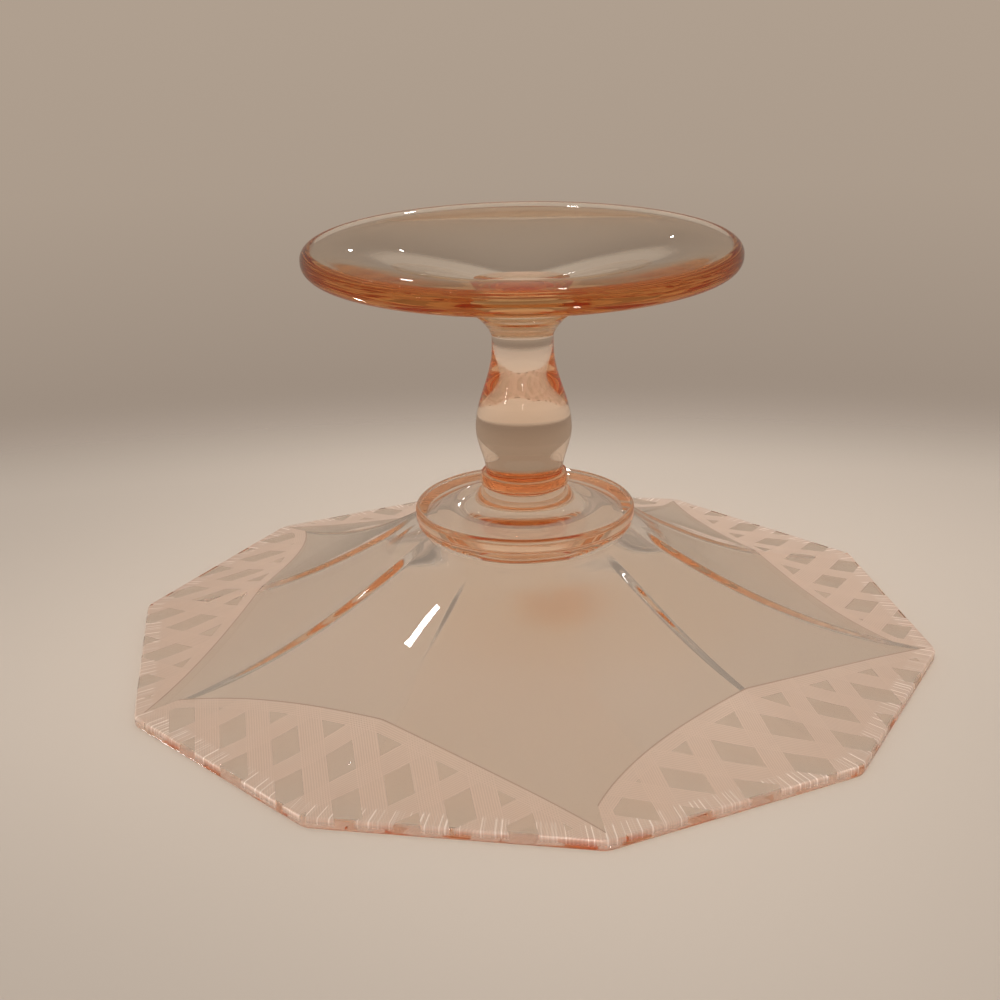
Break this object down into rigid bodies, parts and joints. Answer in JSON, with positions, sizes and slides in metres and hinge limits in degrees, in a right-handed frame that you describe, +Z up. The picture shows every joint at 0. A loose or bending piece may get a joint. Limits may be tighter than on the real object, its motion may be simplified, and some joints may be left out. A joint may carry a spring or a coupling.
{
  "type": "footed compote bowl",
  "caption": "Footed compote bowl in clear pink glass: shallow flat-sided flared bowl on a collar disc, neck ring, baluster stem and round domed foot.",
  "frame": {"origin": "centre of the foot's underside, on the surface that the compote stands on", "axes": "+Z runs up the stem to the open bowl; +X runs through one of the rim's ten corners, and the middle of a flat side of the rim faces -Y"},
  "size_m": [0.2, 0.1902, 0.1005],
  "materials": {
    "foot_glass": "clear polished pink glass, amber where it is seen edge on",
    "stem_glass": "clear fire-polished pink glass",
    "ring_glass": "clear fire-polished pink glass, deeper in colour where it is thick",
    "disc_glass": "clear polished pink glass, amber at the edge",
    "bowl_glass": "clear pink glass with a lattice of fine matt cut lines in five scallops"
  },
  "bodies": {
    "root": {"foot": "foot_glass", "stem": "stem_glass", "neck_ring": "ring_glass", "collar_disc": "disc_glass", "bowl": "bowl_glass"}
  },
  "joints": []
}
